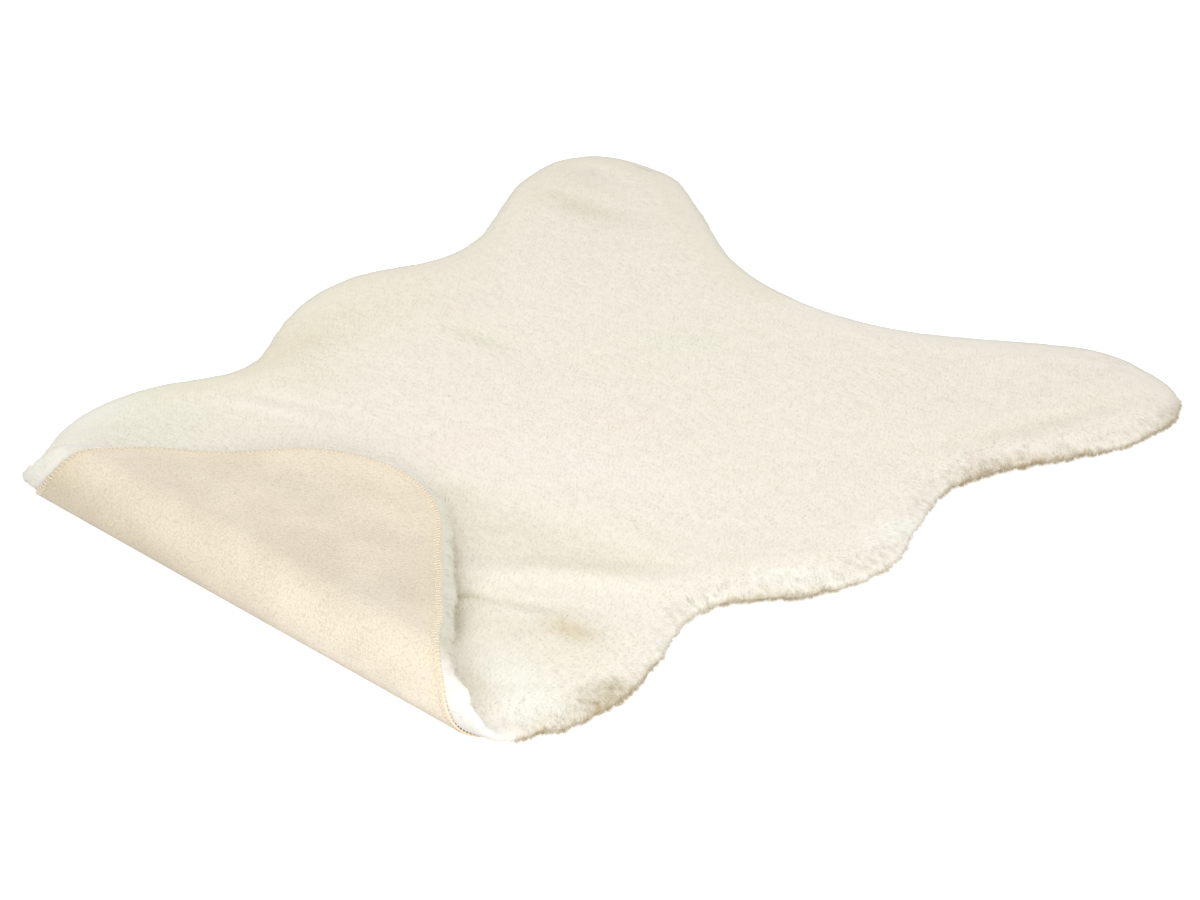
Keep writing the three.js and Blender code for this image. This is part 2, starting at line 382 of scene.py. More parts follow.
# The stitching presses both faces in at the edge.
edge_press = 0.0004 * faded(backing_inset, 0.004)
backing, backing_flat = closed_cloth(
    "backing_cloth", BACKING_BUILD, edge_press, BACKING_THICK - edge_press, BACKING_RIM
)


def dent(flat, x, y, half_length, half_width, turn):
    """A soft oval spot: 1 in its middle, and 0 well outside it."""
    local = turned(flat - (x, y), -math.radians(turn))
    return np.exp(-((local[:, 0] / half_length) ** 2) - (local[:, 1] / half_width) ** 2)


def tint_in(tint, colour, share):
    """Multiplies the tint by a colour, by each place's share of it."""
    tint *= 1 + (np.array(colour) - 1) * share[:, None]


def painted(mesh, tint):
    colours = np.ones((len(tint), 4))
    colours[:, :3] = tint
    mesh.attributes.new("tint", "FLOAT_COLOR", "POINT").data.foreach_set("color", colours.ravel())


# Patches where the face is lighter or darker, and painted light and shade along the fold and at its
# left end: middle x and y on the flat cloth, half-length, half-width, turn from +X in degrees, and the
# colour that it is multiplied by in the middle.
PATCHES_AND_PAINTED_LIGHT = {
    # Painted light where the roll turns towards the lamps, and painted shade where the flap falls away
    # behind it.
    "painted light on the band of the fold": (0.070, -0.340, 0.130, 0.016, 0, (1.08, 1.085, 1.10)),
    "lit low on the fold": (0.140, -0.328, 0.110, 0.010, 0, (1.13, 1.15, 1.17)),
    "painted shade behind the fold": (0.070, -0.405, 0.080, 0.016, 2, (0.985, 0.98, 0.975)),
    "dull patch": (-0.030, -0.450, 0.042, 0.022, 0, (0.910, 0.912, 0.910)),
    "dull patch on the right": (0.036, -0.448, 0.030, 0.012, -10, (0.965, 0.965, 0.970)),
    "light spot": (-0.088, -0.408, 0.022, 0.012, 0, (1.030, 1.035, 1.035)),
    # Painted shade low on the fold.
    "painted shade low on the fold": (0.070, -0.335, 0.075, 0.008, 0, (0.930, 0.930, 0.925)),
    "dull by the tip": (-0.006, -0.480, 0.034, 0.012, 0, (0.920, 0.915, 0.895)),
    "dull by the cheek": (0.092, -0.384, 0.018, 0.034, 0, (0.945, 0.952, 0.962)),
    "light left of the middle": (-0.080, -0.346, 0.030, 0.010, 0, (1.035, 1.040, 1.045)),
    "light low on the left": (-0.014, -0.331, 0.040, 0.010, 0, (1.035, 1.035, 1.035)),
    "light above the corner": (-0.122, -0.384, 0.034, 0.018, 0, (1.040, 1.036, 1.046)),
    # Painted olive shade at the left of the fold.
    "painted olive shade in the left corner": (-0.172, -0.342, 0.048, 0.020, 5, (0.830, 0.820, 0.765)),
    "painted olive shade low on the left": (-0.110, -0.332, 0.060, 0.012, 0, (0.950, 0.945, 0.900)),
}
patches_and_painted_light = np.ones((len(backing_flat), 3))
for *place, colour in PATCHES_AND_PAINTED_LIGHT.values():
    tint_in(patches_and_painted_light, colour, dent(backing_flat, *place))
# The cut edge is yellower, most of all between the stitches.
face_inset = np.zeros(len(backing_flat))
face_inset[: 2 * len(backing_inset)] = np.tile(backing_inset, 2)
for reach, colour in {0.010: (1.01, 0.99, 0.95), 0.003: (0.98, 0.94, 0.88)}.items():
    tint_in(patches_and_painted_light, colour, faded(face_inset, reach))
painted(backing.data, patches_and_painted_light)

SUEDE_DARK, SUEDE_LIGHT = (0.733, 0.646, 0.508, 1), (0.802, 0.711, 0.565, 1)
suede, tree, shader = new_material("suede_look_cloth")
cut = out(add_node(tree, "ShaderNodeUVMap", uv_map="cut"))
pebbles = add_node(tree, "ShaderNodeTexVoronoi", {"Vector": cut, "Scale": 720.0, "Randomness": 1.0})
grain = mixed(tree, 0.45, out(pebbles, "Distance"), noise_on(tree, cut, 520.0, 3.0), "FLOAT")
mottle = mixed(tree, 0.5, noise_on(tree, cut, 22.0, 3.0), noise_on(tree, cut, 7.0, 1.0), "FLOAT")
base = mixed(tree, ranged(tree, mottle, 0.42, 0.56, 0.0, 1.0), SUEDE_DARK, SUEDE_LIGHT)
speck = ranged(tree, grain, 0.2, 0.8, 1.12, 0.85)
# Reads the face's patches, with their painted light and shade.
patches_and_painted_light_tint = add_node(tree, "ShaderNodeAttribute", attribute_name="tint")
finish = {
    "Base Color": multiplied(tree, base, [speck, out(patches_and_painted_light_tint, "Color")]),
    "Normal": bumped(tree, grain, 0.8, 0.0008, invert=True),
    "Roughness": 0.95,
    "Sheen Weight": 0.15,
    "Sheen Roughness": 0.6,
    "Specular IOR Level": 0.2,
}
set_inputs(tree, shader, finish)
backing.data.materials.append(suede)
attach(backing, "root")
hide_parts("backing")


# ==== Overlock stitching ====
# Cream polyester thread round the whole edge, which joins the backing to the pile fabric. Each stitch is a
# slanted bar on the backing's face that wraps round the edge, with a short needle stitch at its inner end.
STITCH_PITCH = 0.0032
STITCH_REACH = 0.0034  # how far in from the edge the bars run
STITCH_SLANT = 0.0010  # how far a bar's ends are shifted each way along the edge
NEEDLE_HALF = 0.0013  # half the length of a needle stitch
THREAD = 0.00035  # radius
EDGE_DEPTH = 0.0036  # of the two cloths, pressed together by the stitching


def thread_tube(path, radii, sides):
    """A closed tube of thread along a path."""
    verts, faces = [], []
    path = [Vector(p) for p in path]
    for i, point in enumerate(path):
        run = (path[min(i + 1, len(path) - 1)] - path[max(i - 1, 0)]).normalized()
        first = run.orthogonal().normalized()
        if abs(run.x) < 0.95:
            first = run.cross(Vector((1, 0, 0))).normalized()
        second = run.cross(first)
        for k in range(sides):
            angle = 2 * math.pi * k / sides
            verts.append(point + radii[i] * (first * math.cos(angle) + second * math.sin(angle)))
    for i in range(len(path) - 1):
        for k in range(sides):
            m = (k + 1) % sides
            faces.append((i * sides + k, i * sides + m, (i + 1) * sides + m, (i + 1) * sides + k))
    faces.append(tuple(reversed(range(sides))))
    faces.append(tuple(range((len(path) - 1) * sides, len(path) * sides)))
    return verts, faces


# A stitch's X runs along the edge, Y into the cloth, and Z out of the backing's face.
bar_path = [
    (-STITCH_SLANT, STITCH_REACH, -0.0001),
    (-0.4 * STITCH_SLANT, 0.6 * STITCH_REACH, 0.00035),
    (0.4 * STITCH_SLANT, 0.2 * STITCH_REACH, 0.0002),
    (0.8 * STITCH_SLANT, -0.0006, -0.0008),
    (STITCH_SLANT, -0.0007, -0.0026),
    (STITCH_SLANT, 0.0008, -EDGE_DEPTH - 0.0001),
]
bar = thread_tube(bar_path, [0.6 * THREAD] + [THREAD] * 4 + [0.6 * THREAD], sides=4)
needle_path = [
    (-NEEDLE_HALF, STITCH_REACH, 0.0),
    (0, STITCH_REACH, 0.0003),
    (NEEDLE_HALF, STITCH_REACH, 0.0),
]
needle = thread_tube(needle_path, [0.5 * THREAD, 0.8 * THREAD, 0.5 * THREAD], sides=3)
shift = len(bar[0])
stitch = plain_object(
    "stitch_source",
    bar[0] + needle[0],
    bar[1] + [tuple(i + shift for i in face) for face in needle[1]],
)
stitch.data.polygons.foreach_set("use_smooth", [True] * len(stitch.data.polygons))


def store_vectors(mesh, name, vectors):
    mesh.attributes.new(name, "FLOAT_VECTOR", "POINT").data.foreach_set("vector", vectors.ravel())


def tree_with_inputs(name, sockets):
    """A Geometry Nodes tree with named inputs, those inputs as sockets, and its output node."""
    tree = bpy.data.node_groups.new(name, "GeometryNodeTree")
    tree.interface.new_socket("Geometry", in_out="INPUT", socket_type="NodeSocketGeometry")
    tree.interface.new_socket("Geometry", in_out="OUTPUT", socket_type="NodeSocketGeometry")
    for label, kind in sockets.items():
        tree.interface.new_socket(label, in_out="INPUT", socket_type=kind)
    return tree, tree.nodes.new("NodeGroupInput").outputs, tree.nodes.new("NodeGroupOutput")


def grown(name, tree, carrier, values):
    """Runs a Geometry Nodes tree on a carrier, and keeps the result as a plain mesh object."""
    modifier = carrier.modifiers.new(tree.name, "NODES")
    modifier.node_group = tree
    for item in tree.interface.items_tree:
        if item.in_out == "INPUT" and item.name in values:
            modifier[item.identifier] = values[item.name]
    ready = carrier.evaluated_get(bpy.context.evaluated_depsgraph_get())
    mesh = bpy.data.meshes.new_from_object(ready)
    carrier.modifiers.remove(modifier)
    mesh.name = name
    return added(name, mesh)


def named(tree, name, kind):
    return out(add_node(tree, "GeometryNodeInputNamedAttribute", {"Name": name}, data_type=kind))


def chance(tree, least, most, seed, kind="FLOAT"):
    """A random value between the two for each point."""
    inputs = {"Min": least, "Max": most, "Seed": seed}
    return out(add_node(tree, "FunctionNodeRandomValue", inputs, data_type=kind))


def vector_maths(tree, operation, *values):
    inputs = dict(enumerate(values))
    return out(add_node(tree, "ShaderNodeVectorMath", inputs, operation=operation))


def above_floor(tree, geometry, least):
    """What goes lower than that height is pressed up to it."""
    place = out(add_node(tree, "GeometryNodeInputPosition"))
    # The X and Y of this limit are far outside the rug, so they change nothing.
    moved = {"Geometry": geometry, "Position": vector_maths(tree, "MAXIMUM", place, (-9, -9, least))}
    return out(add_node(tree, "GeometryNodeSetPosition", moved))


def copies(tree, points, piece, rotation, scale):
    """A copy of the piece at each point, as one mesh."""
    inputs = {"Points": points, "Instance": piece, "Rotation": rotation, "Scale": scale}
    placed = add_node(tree, "GeometryNodeInstanceOnPoints", inputs)
    return out(add_node(tree, "GeometryNodeRealizeInstances", {0: out(placed)}))


stitches_flat = paced(CUT, STITCH_PITCH)
run = np.roll(stitches_flat, -1, axis=0) - np.roll(stitches_flat, 1, axis=0)
run /= np.linalg.norm(run, axis=1)[:, None]
across, along, up = cut_frame(stitches_flat, 0.0)
edge_run = across * run[:, :1] + along * run[:, 1:]
guide = plain_object("stitch_guide", lie(stitches_flat, 0.0003), [])  # just inside the face
store_vectors(guide.data, "edge_run", edge_run)
store_vectors(guide.data, "edge_out", -up)

overlock, given, result = tree_with_inputs(
    "Overlock",
    {
        "Stitch": "NodeSocketObject",
        "Unevenness": "NodeSocketFloat",
        "Seed": "NodeSocketInt",
        "Thread": "NodeSocketMaterial",
    },
)
points = add_node(overlock, "GeometryNodeMeshToPoints", {"Mesh": given["Geometry"]})
source = add_node(overlock, "GeometryNodeObjectInfo", {"Object": given["Stitch"]})
sit = add_node(
    overlock,
    "FunctionNodeAxesToRotation",
    {0: named(overlock, "edge_out", "FLOAT_VECTOR"), 1: named(overlock, "edge_run", "FLOAT_VECTOR")},
    primary_axis="Z",
    secondary_axis="X",
)
wobble = chance(overlock, (0.85, 0.8, 0.85), (1.15, 1.15, 1.15), given["Seed"], "FLOAT_VECTOR")
size = mixed(overlock, given["Unevenness"], (1, 1, 1), wobble, "VECTOR")
sewn = copies(overlock, out(points), out(source, "Geometry"), out(sit), size)
coated = add_node(
    overlock,
    "GeometryNodeSetMaterial",
    {"Geometry": above_floor(overlock, sewn, least=0.0001), "Material": given["Thread"]},
)
overlock.links.new(out(coated), result.inputs[0])

THREAD_DARK, THREAD_LIGHT = (0.84, 0.76, 0.62, 1), (0.93, 0.87, 0.76, 1)
thread_finish, tree, shader = new_material("cream_thread")
twist = noise_on(tree, out(add_node(tree, "ShaderNodeTexCoord"), "Object"), 1500.0)
finish = {
    "Base Color": mixed(tree, twist, THREAD_DARK, THREAD_LIGHT),
    "Normal": bumped(tree, twist, 0.5, 0.0003),
    "Roughness": 0.7,
    "Sheen Weight": 0.2,
}
set_inputs(tree, shader, finish)

stitching = grown(
    "overlock_stitching",
    overlock,
    guide,
    {"Stitch": stitch, "Unevenness": 1.0, "Seed": 4, "Thread": thread_finish},
)
for used in (guide, stitch):
    bpy.data.objects.remove(used)
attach(stitching, "root")


# ==== Pile fabric ====
# Imitation fur: a knitted ground with a dense cream polyester pile, 14 mm deep, cut as one piece with the
# backing. The mass of the pile is one soft body. Its outer fibres are separate pieces that grow from it.
FUR_BASE = BACKING_THICK + 0.0003  # of the ground, above the backing's face
BODY_DEPTH = 0.0130  # of the pile's dense part
ROUNDING = 0.020  # how far in from the edge the pile is rounded off
EDGE_DROP = 0.0026  # how much lower it is at the edge
FAN_REACH = 0.014  # how far in from the edge the fibres fan out
# Seen from above, the pile fans out where the edge faces this way, and is combed flat where it faces away.
OPEN_SIDE = np.array([0.695, -0.719])
# How many times further the pile stands out of the edge where the fold squeezes it, by the length of cloth
# past the fold, on the left and on the right.
SPLAY_PAST = np.array([-0.010, 0.025, 0.048, 0.060, 0.074, 0.095, 0.130])
SPLAY_LEFT = np.array([1, 2.1, 2.2, 2.2, 2.2, 1.8, 1.1])
SPLAY_RIGHT = np.array([1, 1.5, 1.4, 0.75, 1.1, 0.9, 0.85])
# Where the rim stands out further: middle x and y on the floor, radius, and how much further, with less
# far below zero.
FULLER = {
    "flank": (0.256, -0.020, 0.060, 0.75),
    "flank, behind": (0.262, 0.062, 0.022, -0.25),
    "waist": (0.214, -0.111, 0.026, 0.20),
    "neck": (0.240, -0.182, 0.024, -0.40),
    "cheek": (0.243, -0.250, 0.018, 0.30),
    "under the roll": (0.224, -0.286, 0.020, 0.80),
    "loin": (0.248, 0.160, 0.050, 0.25),
    "hind toe": (-0.255, 0.330, 0.055, 0.18),
    "behind the left leg": (-0.165, 0.302, 0.050, 0.18),
    "left flank": (-0.262, 0.045, 0.045, 0.25),
    "behind the right leg": (0.176, 0.312, 0.055, 0.28),
    "right toe": (0.240, 0.336, 0.045, 0.30),
    "right toe, outside": (0.325, 0.290, 0.030, -0.15),
}

# Soft troughs pressed into the pile, and ridges pushed up: middle x and y on the floor, half-length,
# half-width, turn from +X in degrees, and how deep they are, with a ridge below zero.
HOLLOWS = {
    "crevice beside the flap": (0.111, -0.218, 0.090, 0.006, -41, 0.0036),
    "behind the pulled ridge": (0.080, -0.112, 0.100, 0.024, 3, 0.0030),
    "pulled ridge": (0.142, -0.150, 0.075, 0.012, 38, -0.0028),
    "crease before it": (0.138, -0.193, 0.044, 0.005, 27, 0.0028),
    "hollow by the cheek": (0.150, -0.212, 0.030, 0.012, 5, 0.0008),
    "fold on the left flank": (-0.160, -0.128, 0.060, 0.006, 22, 0.0012),
    "hollow in the left waist": (-0.245, -0.020, 0.060, 0.030, 75, 0.0016),
    "hollow across the hind foot": (-0.215, 0.262, 0.040, 0.014, 20, 0.0014),
    "hollow down the hind leg": (0.246, 0.223, 0.065, 0.010, 70, 0.0022),
    "dent in the left flank": (-0.127, 0.036, 0.022, 0.008, 10, 0.0012),
}
# Patches of the pile's colour: its own pink, green and brown tones, a tan parting and a speck, and painted
# light and shade on lit places, in creases and hollows and in the crevice beside the flap: middle x and y,
# half-length, half-width, turn, and the colour that it is multiplied by in the middle.
MARKS = {
    # Painted shadow in the crevice beside the flap.
    "beside the flap": (0.108, -0.215, 0.074, 0.005, -41, (0.69, 0.66, 0.55)),
    "lit low beside the flap": (0.149, -0.256, 0.022, 0.010, -41, (1.19, 1.22, 1.30)),
    "lit neck": (0.195, -0.141, 0.030, 0.018, 20, (1.025, 1.040, 1.045)),
    # Painted light behind the flap's upper edge.
    "painted light behind the flap": (-0.165, -0.217, 0.075, 0.013, 43, (1.05, 1.06, 1.07)),
    "brown of the left waist": (-0.212, -0.105, 0.040, 0.014, 80, (0.970, 0.965, 0.940)),
    "far hind foot": (-0.242, 0.277, 0.040, 0.014, 0, (0.965, 0.950, 0.925)),
    "by the tip of the flap": (0.020, -0.127, 0.016, 0.012, 0, (0.955, 0.958, 0.925)),
    "green of the left flank": (-0.179, -0.088, 0.040, 0.026, 0, (0.980, 0.975, 0.955)),
    "lit waist": (0.203, -0.094, 0.026, 0.018, 20, (1.025, 1.020, 1.040)),
    "lit crease": (0.153, -0.200, 0.022, 0.006, 20, (1.030, 1.045, 1.060)),
    # Painted shade beside the roll, and in the crease at the flap.
    "painted shade beside the roll": (0.192, -0.274, 0.026, 0.007, -35, (0.93, 0.92, 0.89)),
    "painted shade in the crease at the flap": (0.112, -0.208, 0.011, 0.004, 32, (0.76, 0.73, 0.62)),
    "lit beside the crevice": (0.148, -0.221, 0.040, 0.012, -41, (1.06, 1.05, 1.045)),
    "shade behind the ridge": (0.090, -0.138, 0.075, 0.026, 20, (0.975, 0.978, 0.940)),
    "deepest shade behind it": (0.150, -0.122, 0.045, 0.012, 40, (0.965, 0.965, 0.925)),
    # Painted light on the ridge.
    "painted light on the ridge": (0.142, -0.158, 0.075, 0.012, 38, (1.035, 1.035, 1.04)),
    # Painted shade in the crease before the ridge.
    "painted shade in the crease before the ridge": (0.146, -0.191, 0.040, 0.006, 24, (0.98, 0.975, 0.96)),
    "shade by the cheek": (0.150, -0.210, 0.035, 0.014, 10, (0.975, 0.975, 0.955)),
    "parting": (0.190, -0.190, 0.020, 0.010, 5, (0.84, 0.79, 0.66)),
    "below the parting": (0.202, -0.213, 0.024, 0.012, 5, (1.02, 1.01, 0.99)),
    # Painted light on the cheek and its edge.
    "painted light on the cheek": (0.198, -0.254, 0.036, 0.022, 0, (1.07, 1.11, 1.13)),
    "painted light on the edge of the cheek": (0.228, -0.268, 0.020, 0.016, 40, (1.03, 1.06, 1.08)),
    "pink of the belly": (0.060, 0.010, 0.170, 0.110, 40, (1.010, 0.998, 1.0)),
    "pink by the flap": (0.062, -0.042, 0.110, 0.034, 15, (1.030, 1.012, 1.035)),
    "pink of the left flank": (-0.170, 0.052, 0.030, 0.018, 60, (1.010, 0.975, 0.985)),
    "green of the back": (-0.015, 0.130, 0.070, 0.030, 60, (0.972, 0.994, 0.972)),
    "left flank": (-0.225, -0.040, 0.110, 0.050, 80, (0.975, 0.982, 0.955)),
    "brown of the left flank": (-0.220, -0.010, 0.085, 0.026, 85, (1.000, 0.972, 0.940)),
    "blotch on the left flank": (-0.214, -0.060, 0.035, 0.016, 60, (0.965, 0.955, 0.930)),
    # Painted shade in the left flank's dent.
    "dent in the left flank": (-0.127, 0.036, 0.022, 0.009, 10, (0.915, 0.945, 0.890)),
    "streak on the left flank": (-0.160, -0.147, 0.050, 0.005, 20, (1.05, 1.045, 1.06)),
    # Painted light on the lobe by the fold.
    "painted light on the lobe by the fold": (-0.218, -0.280, 0.026, 0.020, 50, (1.08, 1.09, 1.12)),
    "left lobe": (-0.196, -0.200, 0.075, 0.050, 0, (0.970, 0.995, 0.970)),
    # Painted light on the edge of the left lobe.
    "painted light on the edge of the left lobe": (-0.244, -0.230, 0.034, 0.014, 80, (1.02, 1.03, 1.06)),
    "hind foot": (-0.225, 0.242, 0.040, 0.014, 0, (0.925, 0.905, 0.850)),
    "toes of the hind foot": (-0.262, 0.289, 0.020, 0.012, 10, (0.970, 0.935, 0.945)),
    # Painted shade in the hollow down the hind leg.
    "down the hind leg": (0.246, 0.223, 0.060, 0.010, 70, (0.945, 0.950, 0.920)),
    "green of the hind leg": (0.219, 0.274, 0.050, 0.020, 60, (0.970, 0.992, 0.980)),
    # Painted light on the edge and bulge of the flank.
    "painted light on the edge of the flank": (0.246, -0.045, 0.026, 0.014, 50, (1.05, 1.065, 1.09)),
    "painted light on the bulge of the flank": (0.261, 0.047, 0.024, 0.012, 80, (1.04, 1.08, 1.11)),
    "speck": (0.180, 0.204, 0.003, 0.003, 0, (0.88, 0.86, 0.84)),
}


def unevenness(flat, size, seed):
    """Smooth noise from about -1 to 1, with features of that size."""
    return np.array([noise.noise((x / size, y / size, seed)) for x, y in flat]) * 1.6


FUR_BUILD = flat_grid(half_columns=52, row_step=0.0050, head_rows=18, leg_rows=36)
fur_flat = FUR_BUILD[0]
fur_loop = FUR_BUILD[2]
inset, nearest, way_out = from_edge(fur_flat)
depth = np.full(len(fur_flat), BODY_DEPTH)
on_floor = turned(fur_flat, FOLD_SKEW)
lying = fur_flat[:, 1] > FOLD_AT
for *place, deep in HOLLOWS.values():
    depth -= deep * dent(on_floor, *place) * lying
# The top is gently uneven, and rounded off towards the edge.
depth += 0.0006 * unevenness(fur_flat, 0.090, 1.3)
depth += 0.0004 * unevenness(fur_flat, 0.016, 7.1) * np.minimum(inset / ROUNDING, 1)
depth -= EDGE_DROP * np.clip(1 - inset / ROUNDING, 0, 1) ** 2
loop_flat = fur_flat[fur_loop]
loop_past = FOLD_AT - loop_flat[:, 1]
splay = np.where(
    loop_flat[:, 0] < 0,
    smooth_between(loop_past, SPLAY_PAST, SPLAY_LEFT),
    smooth_between(loop_past, SPLAY_PAST, SPLAY_RIGHT),
)
# The rim is more even where it is combed flat, and at the left end of the fold.
loop_out = way_out[fur_loop]
smooth_side = turned(loop_out, FOLD_SKEW) @ OPEN_SIDE < 0
smooth_side |= (loop_past > -0.03) & (loop_flat[:, 0] < 0)
bulge = 1 + np.where(smooth_side, 0.05, 0.18) * unevenness(loop_flat, 0.011, 3.7)
for x, y, radius, further in FULLER.values():
    bulge *= 1 + further * dent(turned(loop_flat, FOLD_SKEW), x, y, radius, radius, 0)
# The rim from the floor up: its share of the height, and how far past the cut edge it stands.
body_rim = [
    (0.08, 0.0032 * splay),
    (0.22, 0.0070 * splay * bulge),
    (0.40, 0.0094 * splay * bulge),
    (0.58, 0.0098 * splay * bulge),
    (0.76, 0.0086 * splay * bulge),
    (0.89, 0.0050 * splay * bulge),
]
pile_body, body_flat = closed_cloth("pile_body", FUR_BUILD, FUR_BASE, FUR_BASE + depth, body_rim)

# What the fibres read off the body: where they grow, how long, which way they lean, and their colour.
count, around = len(fur_flat), len(fur_loop)
on_rim = np.zeros(len(body_flat), dtype=bool)
on_rim[2 * count :] = True
body_inset = np.concatenate([inset, inset, np.zeros(len(body_rim) * around)])
past = FOLD_AT - body_flat[:, 1]
across, along, up = cut_frame(body_flat, FUR_BASE + BODY_DEPTH)
# The nap runs from the head towards the tail, and swirls a little.
nap_angle = math.radians(95) + 0.5 * unevenness(body_flat, 0.080, 5.0)
nap = np.stack([np.cos(nap_angle), np.sin(nap_angle)], 1)
# Near the edge the pile leans outwards instead, and then down the rim.
to_edge = (nearest - fur_flat) / np.maximum(inset, 1e-6)[:, None]
to_edge[fur_loop] = loop_out
to_edge = np.concatenate([to_edge, to_edge] + [loop_out] * len(body_rim))
fan = faded(body_inset, FAN_REACH)[:, None]
nap = nap * (1 - fan) + to_edge * fan
height_share = np.concatenate([np.ones(2 * count)] + [np.full(around, row[0]) for row in body_rim])
down_rim = ((1 - height_share) * (past < 0))[:, None]
nap_on_floor = (across * nap[:, :1] + along * nap[:, 1:]) * (1 - down_rim) - up * down_rim
store_vectors(pile_body.data, "nap", nap_on_floor)


def store_floats(mesh, name, values):
    mesh.attributes.new(name, "FLOAT", "POINT").data.foreach_set("value", values)


# The fibres are shorter where the pile is combed flat, and at the fold and round the flap.
outwards = (across * to_edge[:, :1] + along * to_edge[:, 1:])[:, :2]
combed = np.clip(0.5 - outwards @ OPEN_SIDE, 0, 1) * (past < 0)
shortened = np.maximum(combed, 0.7 * (past >= 0)) * faded(body_inset, FAN_REACH)
store_floats(pile_body.data, "fibre_length", 1 - 0.45 * shortened)

# A face inside the fold is hidden: only its edge grows fibres. On the rim the short fibres of the top
# give way to longer ones.
TIP_MARGIN, SIDE_MARGIN = 0.025, 0.035  # how far inside the flap's edge nothing under it shows
FLAP_FRINGE = 0.025  # how far in from its edge the flap's hidden face grows fibres
upper = np.zeros(len(body_flat), dtype=bool)
upper[count : 2 * count] = True
over_it = FOLD_AT - ROLL_LENGTH + past - TIP_MARGIN  # the place along the flap that lies over it
spans = [crossings(y) if y > CUT[:, 1].min() else [] for y in over_it]
covered = np.array(
    [
        len(ends) > 0 and ends[0] + SIDE_MARGIN < x < ends[-1] - SIDE_MARGIN
        for x, ends in zip(body_flat[:, 0], spans)
    ]
)
edge_zone = 0.006 - 0.0045 * combed  # how far in from the edge the longer fibres grow
edge_share = np.clip(1 - body_inset / edge_zone, 0, 1) * (upper | on_rim)
top_share = (1 - edge_share) * (upper & (past < 0) & ~covered)
flap_share = np.where(on_rim, 1.0, upper * (body_inset < FLAP_FRINGE))
right = body_flat[:, 0] > 0
for label, share in {
    "top_left": top_share * ~right,
    "top_right": top_share * right,
    "edge_left": edge_share * ~right * (past < 0),
    "edge_right": edge_share * right * (past < 0),
    "edge_flap": flap_share * (past >= 0),
}.items():
    store_floats(pile_body.data, "cover_" + label, share)

# The tan roots show low on the rim, and painted shade darkens it there towards the floor: how far, how
# high up it, and over how much of it they fade.
ROOTS_AND_SHADE_SHOW, ROOTS_AND_SHADE_REACH, ROOTS_AND_SHADE_FADE = 0.72, 0.68, 0.46
# They show more where the pile has parted: the middle of each parting on the floor, its radius, how much
# further they show, and how much higher up the rim.
PARTINGS = {
    "cheek": (0.246, -0.228, 0.016, 0.8, 0.46),
    "cheek, by the neck": (0.247, -0.210, 0.013, 0.5, 0.35),
    "cheek, by the fold": (0.236, -0.256, 0.022, 0.9, 0.34),
    "neck": (0.244, -0.186, 0.018, 0.6, 0.22),
    "under the roll": (0.224, -0.280, 0.018, 0.5, 0.20),
    "flank": (0.240, -0.056, 0.040, 0.6, 0.26),
    "loin": (0.242, 0.152, 0.038, 1.0, 0.34),
    "hind leg": (0.270, 0.212, 0.042, 0.5, 0.24),
    "toe": (0.292, 0.302, 0.034, 0.9, 0.35),
}
on_floor = turned(body_flat, FOLD_SKEW)
shows = np.full(len(body_flat), ROOTS_AND_SHADE_SHOW)
reach = np.full(len(body_flat), ROOTS_AND_SHADE_REACH)
for x, y, radius, how_far, how_high in PARTINGS.values():
    here = dent(on_floor, x, y, radius, radius, 0)
    shows += how_far * here
    reach += how_high * here
low = np.clip((reach - height_share) / ROOTS_AND_SHADE_FADE, 0, 1) * (past < 0)
store_floats(pile_body.data, "roots_and_shade", np.minimum(shows, 1) * low)

tint = np.ones((len(body_flat), 3))
for *place, colour in MARKS.values():
    tint_in(tint, colour, dent(on_floor, *place) * (past < 0))
# The edge is a little cooler. Where the pile is combed flat, the rim has painted shade instead, darker
# towards the floor.
tint_in(tint, (0.99, 1.0, 1.02), faded(body_inset, 0.008) * (1 - combed))
tint_in(tint, (0.86, 0.88, 0.88), np.clip((1 - height_share) / 0.3, 0, 1) * combed)
# Where it bursts out of the ends of the roll it has a painted highlight on the right and painted shade on
# the left, and painted shade round the flap's right edge.
burst = faded(body_inset, 0.010) * smooth_between(past, [0, 0.02, 0.055, 0.075], [0, 1, 1, 0])
tint_in(tint, np.where(right[:, None], (1.02, 1.05, 1.10), (0.96, 0.985, 0.985)), burst)
fringe_shade = faded(body_inset, 0.010) * smooth_between(past, [0.055, 0.080], [0, 1])
fringe_shade *= smooth_between(body_flat[:, 0], [-0.060, 0.080], [0, 1])
tint_in(tint, (0.835, 0.84, 0.79), fringe_shade)
# The combed edge is browner on the left, away from the fold.
browned = faded(body_inset, 0.022) * combed * ~right * smooth_between(past, [-0.130, -0.070], [1, 0])
tint_in(tint, (0.965, 0.958, 0.915), browned)
painted(pile_body.data, tint)


def number_maths(tree, operation, *values, **settings):
    inputs = dict(enumerate(values))
    return out(add_node(tree, "ShaderNodeMath", inputs, operation=operation, **settings))


